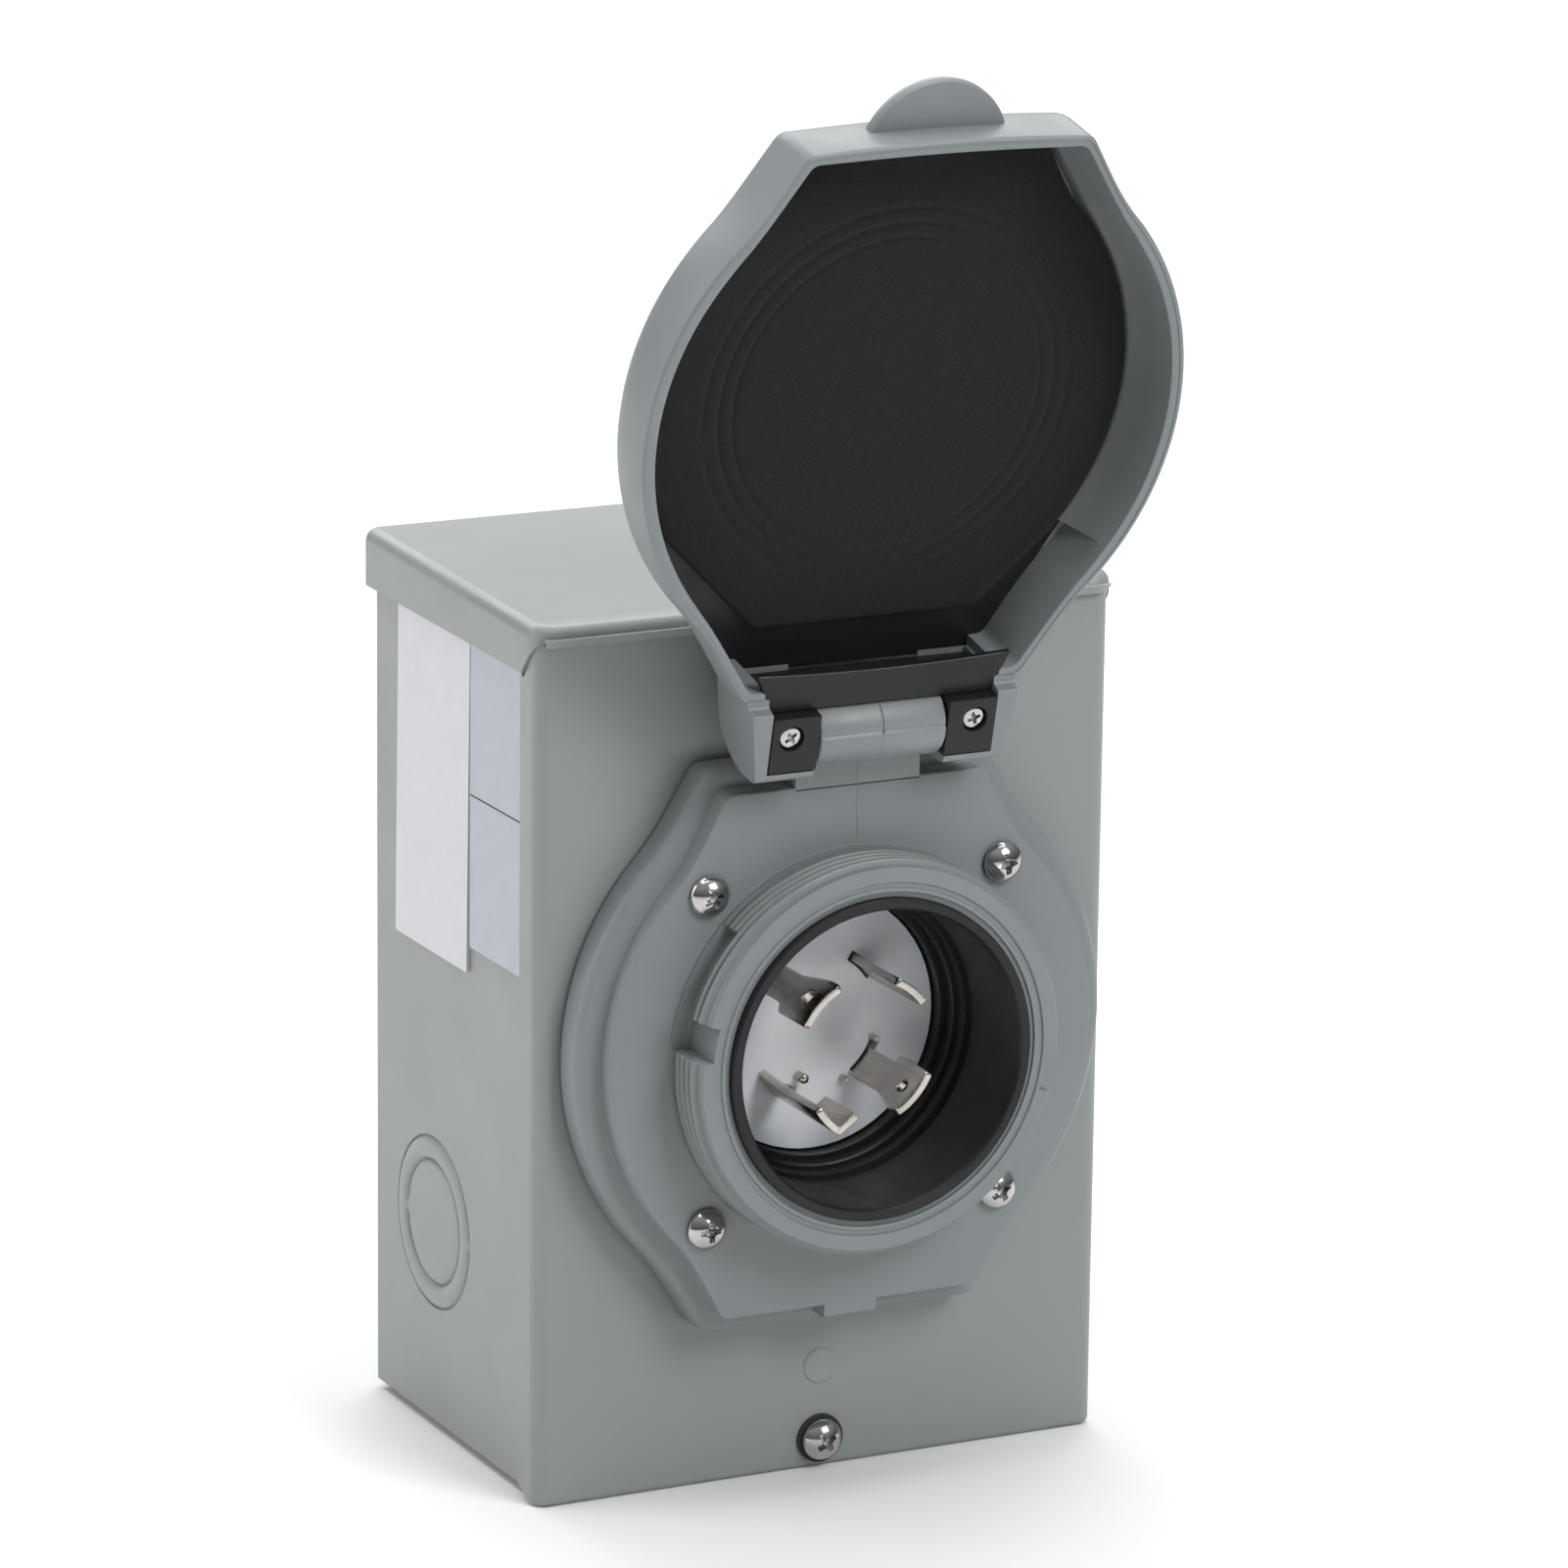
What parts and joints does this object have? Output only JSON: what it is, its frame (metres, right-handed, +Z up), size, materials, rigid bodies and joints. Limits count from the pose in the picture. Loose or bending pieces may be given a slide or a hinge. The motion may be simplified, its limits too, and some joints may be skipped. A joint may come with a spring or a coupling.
{
  "type": "generator inlet box",
  "caption": "Wall-mounted sheet-steel box with a flanged four-blade locking power inlet under a hinged flip lid with a foam gasket.",
  "frame": {"origin": "on the back sheet's outer face, level with the inlet's axis and centred across the box", "axes": "+Y into the wall, -Y out of the front; +Z up; +X to the right seen from the front"},
  "size_m": [0.1214, 0.1254, 0.2765],
  "materials": {
    "painted_steel": "smooth grey-green powder coat",
    "grey_plastic": "moulded grey-green plastic, satin",
    "black_plastic": "moulded black plastic, satin",
    "foam": "black closed-cell foam, matt",
    "rubber": "black rubber",
    "white_nylon": "pale grey-white nylon, satin",
    "nickel": "nickel-plated brass",
    "bright_steel": "bright zinc or stainless steel",
    "brass": "plain brass",
    "green_screw": "green-plated steel",
    "label_white": "blank white printed-film label",
    "label_grey": "blank pale grey film label"
  },
  "bodies": {
    "box": {"enclosure_body": "painted_steel", "roof_hood": "painted_steel", "front_cover": "painted_steel", "knockout_left_ring": "painted_steel", "knockout_left_disc": "painted_steel", "knockout_right_ring": "painted_steel", "knockout_right_disc": "painted_steel", "knockout_bottom_ring": "painted_steel", "knockout_bottom_disc": "painted_steel", "inlet_flange": "grey_plastic", "inlet_barrel": "black_plastic", "terminal_block": "black_plastic", "flange_gasket": "rubber", "cover_screw_washer": "rubber", "inlet_face": "white_nylon", "blade_line_x": "nickel", "blade_line_y": "nickel", "blade_neutral": "nickel", "blade_ground": "nickel", "cover_screw": "bright_steel", "flange_screw_1": "bright_steel", "flange_screw_2": "bright_steel", "flange_screw_3": "bright_steel", "flange_screw_4": "bright_steel", "flange_nut_1": "bright_steel", "flange_nut_2": "bright_steel", "flange_nut_3": "bright_steel", "flange_nut_4": "bright_steel", "barrel_screw_1": "bright_steel", "barrel_screw_2": "bright_steel", "barrel_screw_3": "bright_steel", "terminal_clamp_1": "brass", "terminal_clamp_2": "brass", "terminal_clamp_3": "brass", "terminal_clamp_4": "brass", "terminal_screw_1": "brass", "terminal_screw_2": "brass", "terminal_screw_3": "brass", "terminal_screw_4": "green_screw", "ground_screw": "green_screw", "side_label_wide": "label_white", "side_label_narrow": "label_grey"},
    "lid": {"lid_shell": "grey_plastic", "lid_foam_pad": "foam", "hinge_retainer": "black_plastic", "retainer_screw_left": "bright_steel", "retainer_screw_right": "bright_steel", "hinge_pin": "bright_steel"}
  },
  "joints": [
    {"name": "lid_hinge", "type": "hinge", "parent": "box", "child": "lid", "pos_m": [0, -0.095, 0.0632], "axis": [1, 0, 0], "range_deg": [0, 166.8]}
  ]
}
